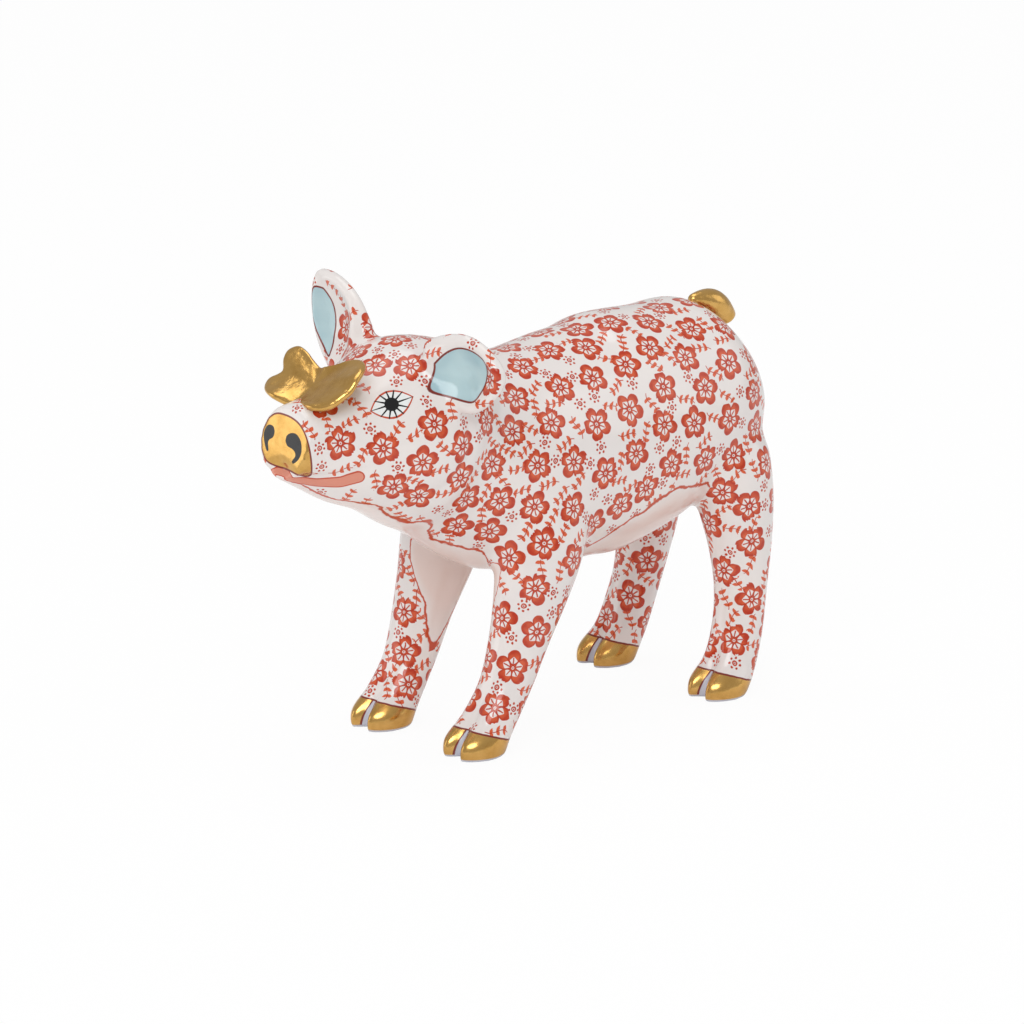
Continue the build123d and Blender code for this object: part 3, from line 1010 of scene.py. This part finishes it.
def beside_ray(angle, radius, count):
    """How far a place is beside the nearest of so many rays from the middle."""
    return (angle * (count / (2 * pi))).wrapped(-0.5, 0.5) * (2 * pi / count) * radius


def blossom(radius, angle, pool, pen):
    """A blossom's washed petals and its pen lines."""
    bend = beside_ray(angle, radius, PETALS)
    out, beside = (radius - PETAL_MIDDLE) / PETAL_LONG, bend / (PETAL_WIDE + PETAL_FLARE * radius)
    petal = (1 - (out**2 + beside**2) ** 0.5) * PETAL_SLOPE
    veins = (abs(bend) - VEIN_HALF).below(pen * VEIN_SHARE)
    veins = veins * radius.above(VEIN_START) * radius.below(VEIN_END, 0.05)
    ring = abs(radius - RING_RADIUS).below(pen * RING_SHARE)
    drawn = abs(petal).below(pen / 2).most(veins).most(ring).most(radius.below(DOT_RADIUS))
    painted = radius - WASH_START + abs(bend) * WASH_BOW + (pool - 0.5) * WASH_WAVER
    return petal.above(0) * painted.above(0, 0.05), drawn


def sprig(u, v, pen):
    """A sprig's washed leaves and its stalk."""
    beside = abs(v - (u * STEM_WAVE).sine() * STEM_SWING)
    step = (u + LEAF_START).wrapped(-LEAF_STEP, LEAF_STEP)
    out = beside * LEAF_SLANT[0] + step * LEAF_SLANT[1] - LEAF_OUT
    wide = step * LEAF_SLANT[0] - beside * LEAF_SLANT[1]
    leaf = LEAF_WIDE - out * out * LEAF_TAPER - abs(wide)
    leaves = leaf.above(0) * abs(u).below(LEAFY_REACH)
    return leaves, beside.below(pen * STALK_SHARE) * abs(u).below(SPRIG_REACH)


def rosette(radius, angle, pen):
    """A rosette's dots and its small ring."""
    bead = beside_ray(angle, radius, BEADS)
    beads = ((radius - BEAD_RING) ** 2 + bead * bead) ** 0.5
    ring = abs(radius - EYELET_RING).below(pen * EYELET_SHARE)
    return beads.below(BEAD_RADIUS).most(ring).most(radius.below(EYELET_DOT))


def motifs(coat):
    """Blossoms, leaf sprigs and rosettes of dots, drawn with a pen and washed in with a brush."""
    paint, tint, pen = coat.paint, colours(), sizes().pen_line / MM
    spot = paint.node("ShaderNodeAttribute", {"attribute_name": "motif"}, output=1)
    u, v, kind = paint.parts(spot)
    u = u + paint.waver(620, 2, 0.5)
    v = v + paint.waver(480, 2, 0.5)
    radius = (u * u + v * v) ** 0.5
    angle = v.turn(u)
    pool = paint.noise(900, 3)
    petals, petal_lines = blossom(radius, angle, pool, pen)
    leaves, stalk = sprig(u, v, pen)
    dots = rosette(radius, angle, pen)
    shares = [kind.above(low, 0.01) * kind.below(low + 1, 0.01) for low in (BLOSSOM, SPRIG, ROSETTE)]
    kept = paint.field("bare").below(0, 0.08)
    washed = (petals * shares[BLOSSOM] + leaves * shares[SPRIG]) * kept
    drawn = (petal_lines * shares[BLOSSOM] + stalk * shares[SPRIG] + dots * shares[ROSETTE]) * kept
    deep = (radius - 1.5) * 0.9 + (pool - 0.5) * 1.6
    coat.lay(washed, paint.mix(deep.above(0.15, 0.55), tint.wash, tint.pool))
    coat.lay(drawn.least(1), paint.mix(pool.above(0.5, 0.2), tint.line, tint.pool))


def bare_skin(coat):
    """The warm unpainted throat, chest and belly, with the pen line where the paint stops."""
    bare = coat.paint.field("bare")
    coat.lay(bare.above(0.4, 0.9) * 0.85, colours().blush)
    coat.line(bare + coat.paint.waver(700, 3, 0.5), colours().line)


# An eye: the way it faces, the way it runs back along the cheek, its half length and half height,
# its pupil and lashes, and how deep under its middle paint still counts as the eye's.
EYE_FACING, EYE_ALONG, EYE_LONG, EYE_HIGH = (-0.48, -0.67, 0.57), (5.31, -2.29, 1.45), 3.0, 1.85
PUPIL_RADIUS, LASHES, LASH_START, LASH_HALF, LASH_TAPER, EYE_DEPTH = 0.95, 12, 0.6, 0.17, 0.045, 2.4


def eyes(coat):
    """White almond eyes with a black pupil and lashes all round it."""
    paint, tint = coat.paint, colours()
    facing = unit(EYE_FACING)
    along = unit(EYE_ALONG - facing * (facing @ EYE_ALONG))
    x, y, z = paint.parts(paint.measured())
    place = paint.node("ShaderNodeCombineXYZ", {}, {0: x, 1: 0 - abs(y), 2: z})
    axes = along, np.cross(facing, along), facing
    u, v, depth = (paint.along(place, EYE_MIDDLE, axis) for axis in axes)
    near = abs(depth).below(EYE_DEPTH, 0.1)
    u = u + paint.waver(600, 2, 0.15)
    lid = (1 - (u / EYE_LONG) ** 2) * EYE_HIGH - abs(v)
    coat.lay(lid.above(0) * near, tint.eye_white)
    radius = (u * u + v * v) ** 0.5
    ray = abs(beside_ray(v.turn(u), radius, LASHES))
    lash = (ray - LASH_HALF + radius * LASH_TAPER).below(0, 0.025) * radius.above(LASH_START, 0.05)
    lash = lash * lid.above(-0.15, 0.1)
    coat.line(lid * 0.8 + (1 - near) * OUTSIDE, tint.line, 1.1)
    coat.lay(lash.most(radius.below(PUPIL_RADIUS)) * near, tint.black)


def snout(coat):
    """The gilded disc with its comma nostrils, and the pink lip under it."""
    paint, tint = coat.paint, colours()
    lip = paint.field("lip")
    coat.lay(lip.above(0, 0.05), tint.lip)
    coat.line(lip, tint.line, 0.9)
    disc = paint.field("disc")
    coat.gild(disc.above(0, BRUSH_BLUR))
    coat.line(disc, tint.outline, 1.25)
    coat.lay(paint.field("nostril").above(0, BRUSH_BLUR), tint.black)


def ear_cups(coat):
    """Pale blue insides of the ears, outlined."""
    paint, tint = coat.paint, colours()
    cup = paint.field("cup")
    drift = paint.noise(160, 2).above(0.5, 0.2)
    coat.lay(cup.above(0, BRUSH_BLUR), paint.mix(drift, tint.blue, tint.blue_shade))
    coat.line(cup, tint.outline, 1.3)


# Height of the unglazed rim that a foot stands on.
FOOT_RIM = 0.38


def hooves(coat):
    """Gilded hooves with a dark top line, painted shade in the cleft and a bare foot rim."""
    paint, tint = coat.paint, colours()
    hoof, cleft = paint.field("hoof") + paint.waver(500, 2, 0.35), paint.field("cleft")
    gilt = hoof.above(0, BRUSH_BLUR)
    coat.gild(gilt)
    # Painted shade: the cleft inside the gold is laid darker, as the shade in its notch.
    coat.lay(cleft.above(0, BRUSH_BLUR) * gilt, tint.rim_grey_and_cleft_shade)
    coat.line(cleft + (1 - gilt) * OUTSIDE, tint.outline, 0.9)
    coat.line(hoof, tint.outline, 1.3)
    height = paint.parts(paint.measured())[2]
    coat.lay(height.below(FOOT_RIM, 0.1), tint.rim_grey_and_cleft_shade)


# What each kind of casting has beside the motifs and the bare skin.
FEATURES = {"body": (), "head": (eyes, snout, ear_cups), "legs": (hooves,), "ears": (ear_cups,)}


def porcelain(kind):
    """The painted and glazed material of one kind of casting."""
    paint = Paint(f"painted_{kind}")
    coat = Coat(paint)
    for feature in (motifs, bare_skin, *FEATURES[kind]):
        feature(coat)
    ripple = paint.bump(paint.noise(230, 3), 0.25, 0.4 * MM)
    return paint.finish(base_color=coat.tone, roughness=coat.rough, metallic=coat.gilt, normal=ripple)


def gilding():
    """Gold all over."""
    paint = Paint("gilding")
    leaf, rough = gold_leaf(paint)
    ripple = paint.bump(paint.noise(700, 3), 0.35, 0.3 * MM)
    return paint.finish(base_color=leaf, metallic=1.0, roughness=rough, normal=ripple)


class PIG_OT_skin(bpy.types.Operator):
    """Make the glazed skin of every casting"""

    bl_idname = "pig.skin"
    bl_label = "Glazed skin"

    def execute(self, context):
        skin = Skin()
        kinds = {"torso": "body", "head": "head", "leg": "legs", "ear": "ears"}
        finishes = {kind: porcelain(kind) for kind in kinds.values()}
        for name in SKINS:
            kind = kinds[name.split("_")[0]]
            finished(piece_from(skin, name), name, finishes[kind])
        return {"FINISHED"}


TAIL_MIDDLE, TAIL_CURL, TAIL_START, TAIL_TURN, TAIL_RADIUS = (27.19, 0, 44.8), 8.3, 92.0, 61.0, 1.9
TAIL_SHARES = ((0.35,), (1.0,), (0.75,))
# Shares of the tail's length from its middle to where an end rounds off, and of its radius there.
TAIL_EVEN_SHARE, TAIL_END_SHARE = 0.42, 0.02


def gilt_piece(name, rings):
    """A gilded piece of its own that replaces a casting."""
    mesh = closed_mesh(f"gilt_{name}", rings)
    mesh.transform(Matrix.Translation(row_shift() / MM))
    mesh.transform(Matrix.Scale(MM, 4))
    finished(placed(f"gilt_{name}", mesh), name, gilding())


class PIG_OT_tail(bpy.types.Operator):
    """Make the gilded curl of the tail"""

    bl_idname = "pig.tail"
    bl_label = "Gilded tail"

    def execute(self, context):
        across, out = circle(TAIL_SIDES)
        rings = []
        stations = smoothed(TAIL_SHARES, TAIL_STEPS)[:, 0]
        for station, share in zip(np.linspace(0, 1, len(stations)), stations):
            past = max(abs(station - 0.5) - TAIL_EVEN_SHARE, 0) / (0.5 - TAIL_EVEN_SHARE)
            size = share * TAIL_RADIUS * np.sqrt(max(1 - past**2, TAIL_END_SHARE))
            turn = radians(TAIL_START - TAIL_TURN * station)
            radial = np.array([cos(turn), 0, sin(turn)])
            middle = TAIL_MIDDLE + radial * TAIL_CURL
            rings.append(middle + np.outer(out * size, radial) + np.outer(across * size, [0, 1, 0]))
        gilt_piece("tail", rings)
        return {"FINISHED"}


BUTTERFLY_MIDDLE, BUTTERFLY_PITCH, BUTTERFLY_AXIS = (-40.8, 0.0, 52.6), 35.0, 1.0
# Outline of the four wing lobes seen from above: behind the middle, and beside it to the right.
WING_OUTLINE = (
    (3.0, 0.7), (2.9, 2.2), (3.5, 4.0), (4.3, 5.8), (4.6, 7.6), (3.5, 8.6), (2.0, 8.3), (0.6, 7.5),
    (-0.3, 7.9), (-1.4, 8.5), (-2.6, 8.1), (-3.6, 6.9), (-4.3, 5.0), (-4.3, 3.0), (-4.0, 1.2),
    (-4.0, -0.6), (-4.4, -2.4), (-4.0, -4.2), (-2.6, -5.8), (-0.6, -6.7), (1.4, -6.9), (3.2, -6.4),
    (4.7, -5.2), (5.4, -3.6), (4.8, -1.8), (3.7, -0.4),
)
# Cross-section from the middle of the top over the rim to the middle of the bottom: shares of
# the reach and of half the thickness.
WING_PROFILE = (
    (0.03, 1.0), (0.15, 1.0), (0.3, 1.0), (0.45, 1.0), (0.6, 1.0), (0.74, 1.0), (0.86, 0.98),
    (0.94, 0.8), (0.985, 0.4), (1.0, 0.0), (0.985, -0.5), (0.93, -0.85), (0.84, -1.0), (0.7, -1.0),
    (0.55, -1.05), (0.4, -1.25), (0.28, -1.7), (0.15, -2.1), (0.03, -2.2),
)
WING_THICKNESS, WING_VALLEY, WING_LIFT, WING_DROP = 1.35, 0.8, 0.45, 0.75
# The distance beside the body over which the wings rise, the height, count and first turn of the
# ruffles, and the depth, place and width of the dip between the fore and hind wings.
WING_RISE, RUFFLE, RUFFLES, RUFFLE_TURN = 3.2, 0.34, 5, 0.6
DIP_DEPTH, DIP_PLACE, DIP_WIDTH = 0.35, 0.2, 1.1


class PIG_OT_butterfly(bpy.types.Operator):
    """Make the gilded butterfly with its ruffled wings"""

    bl_idname = "pig.butterfly"
    bl_label = "Gilded butterfly"

    def execute(self, context):
        pitch = radians(BUTTERFLY_PITCH)
        axes = np.array([(cos(pitch), 0, sin(pitch)), (0, 1, 0), (-sin(pitch), 0, cos(pitch))])
        rim = soft_line(WING_OUTLINE + WING_OUTLINE[:1])[:-1]
        hub = np.array([0, BUTTERFLY_AXIS])
        turn = np.arctan2(rim[:, 1] - hub[1], rim[:, 0])
        rings = []
        for reach, level in smoothed(WING_PROFILE, WING_STEPS):
            back, beside = (hub + (rim - hub) * reach).T
            up = WING_VALLEY * (1 - np.exp(-(((beside - hub[1]) / WING_RISE) ** 2))) + WING_LIFT * reach**3
            up += RUFFLE * reach**2 * np.cos(RUFFLES * turn + RUFFLE_TURN)
            up -= DIP_DEPTH * reach * np.exp(-(((back - DIP_PLACE) / DIP_WIDTH) ** 2))
            up += level * WING_THICKNESS / 2 - WING_DROP
            rings.append(BUTTERFLY_MIDDLE + np.stack([back, beside, up], 1) @ axes)
        gilt_piece("butterfly", rings[::-1])
        return {"FINISHED"}


WHITE = (1, 1, 1, 1)
FLOOR_REACH, FLOOR_GLOW_SHARE, STUDIO_LIGHT, STUDIO_WHITE = 3.0, 0.94, 0.5, 1.0
# Each lamp's place, width and power, and the point that they are all turned to.
LAMPS = {
    "key": ((-0.68, -0.46, 0.66), 0.55, 3.2),
    "fill": ((0.55, -0.45, 0.35), 0.6, 0.65),
    "front": ((-0.72, 0.7, 0.2), 0.55, 0.9),
    "top": ((0.05, 0.15, 0.9), 0.7, 2.0),
}
LAMP_AIM = (0, 0, 0.03)
# The photograph's view in degrees and metres, its pixels per metre on the pig, and the pixel of
# the middle of the feet.
VIEW_AZIMUTH, VIEW_ELEVATION, VIEW_DISTANCE = -42.6, 15.1, 1.0
PIXELS_PER_METRE, FRAME_SIZE, FEET_PIXEL = 7300.0, 1024, (545.3, 708.2)


class PIG_OT_stage(bpy.types.Operator):
    """Make the floor, the lamps and the camera"""

    bl_idname = "pig.stage"
    bl_label = "Stage"

    def execute(self, context):
        scene = context.scene
        scene.view_settings.view_transform = "Standard"
        self.floor(scene)
        self.camera(scene)
        for name, (place, size, power) in LAMPS.items():
            self.lamp(scene, name, place, size, power)
        scene.world = bpy.data.worlds.new("studio")
        sky = Paint("studio", scene.world)
        strengths = (STUDIO_LIGHT, STUDIO_WHITE)
        dim, bright = (sky.node("ShaderNodeBackground", {}, {0: WHITE, 1: power}) for power in strengths)
        mixed = sky.node("ShaderNodeMixShader", {}, {0: sky.seen_directly(), 1: dim, 2: bright})
        sky.show(mixed, "World Output")
        return {"FINISHED"}

    def floor(self, scene):
        """A pale sweep that glows for the camera and keeps the pig's shadow."""
        mesh = bpy.data.meshes.new("floor")
        corners = [(x * FLOOR_REACH, y * FLOOR_REACH, 0) for x, y in ((-1, -1), (1, -1), (1, 1), (-1, 1))]
        mesh.from_pydata(corners, [], [(0, 1, 2, 3)])
        sweep = bpy.data.objects.new("floor", mesh)
        scene.collection.objects.link(sweep)
        paint = Paint("floor")
        mesh.materials.append(paint.finish(base_color=tuple(colours().floor), roughness=0.9))
        glow = paint.node("ShaderNodeEmission", {}, {0: WHITE, 1: 1.0})
        seen = paint.seen_directly() * FLOOR_GLOW_SHARE
        paint.show(paint.node("ShaderNodeMixShader", {}, {0: seen, 1: paint.shaded(), 2: glow}))

    def camera(self, scene):
        """The photograph's view, with the middle of the feet off the frame's centre."""
        azimuth, elevation = radians(VIEW_AZIMUTH), radians(VIEW_ELEVATION)
        left, down = ((pixel - FRAME_SIZE / 2) / PIXELS_PER_METRE for pixel in FEET_PIXEL)
        back = Vector((sin(azimuth) * cos(elevation), -cos(azimuth) * cos(elevation), sin(elevation)))
        right = Vector((cos(azimuth), sin(azimuth), 0))
        up = back.cross(right)
        data = bpy.data.cameras.new("camera")
        data.sensor_width = 36
        data.lens = PIXELS_PER_METRE * VIEW_DISTANCE / FRAME_SIZE * data.sensor_width
        data.clip_start, data.clip_end = 0.01, 20
        camera = bpy.data.objects.new("camera", data)
        scene.collection.objects.link(camera)
        place = Vector(row_shift()) + back * VIEW_DISTANCE - right * left + up * down
        turn = Matrix((right, up, back)).transposed().to_4x4()
        camera.matrix_world = Matrix.Translation(place) @ turn
        scene.camera = camera

    def lamp(self, scene, name, place, size, power):
        data = bpy.data.lights.new(name, "AREA")
        data.shape = "DISK"
        data.size, data.energy = size, power
        lamp = bpy.data.objects.new(name, data)
        scene.collection.objects.link(lamp)
        lamp.location = place
        lamp.rotation_mode = "QUATERNION"
        lamp.rotation_quaternion = (Vector(place) - Vector(LAMP_AIM)).to_track_quat("Z", "Y")


class PIG_PT_panel(bpy.types.Panel):
    """Sizes, colours and the steps that make the pig"""

    bl_idname = "PIG_PT_panel"
    bl_label = "Porcelain Pig"
    bl_space_type = "VIEW_3D"
    bl_region_type = "UI"
    bl_category = "Porcelain Pig"

    def draw(self, context):
        layout = self.layout
        for group in (context.scene.pig_sizes, context.scene.pig_colours):
            column = layout.column()
            for name in group.bl_rna.properties.keys():
                if name not in ("rna_type", "name"):
                    column.prop(group, name)
        for step in STEPS:
            layout.operator(step.bl_idname)


STEPS = (PIG_OT_skin, PIG_OT_tail, PIG_OT_butterfly, PIG_OT_stage)
CLASSES = (PigSizes, PigColours, *STEPS, PIG_PT_panel)


def register():
    for made in CLASSES:
        bpy.utils.register_class(made)
    bpy.types.Scene.pig_sizes = PointerProperty(type=PigSizes)
    bpy.types.Scene.pig_colours = PointerProperty(type=PigColours)


def unregister():
    del bpy.types.Scene.pig_sizes
    del bpy.types.Scene.pig_colours
    for made in reversed(CLASSES):
        bpy.utils.unregister_class(made)


def main():
    register()
    bpy.ops.pig.skin()
    bpy.ops.pig.tail()
    bpy.ops.pig.butterfly()
    bpy.ops.pig.stage()


if __name__ == "__main__":
    main()
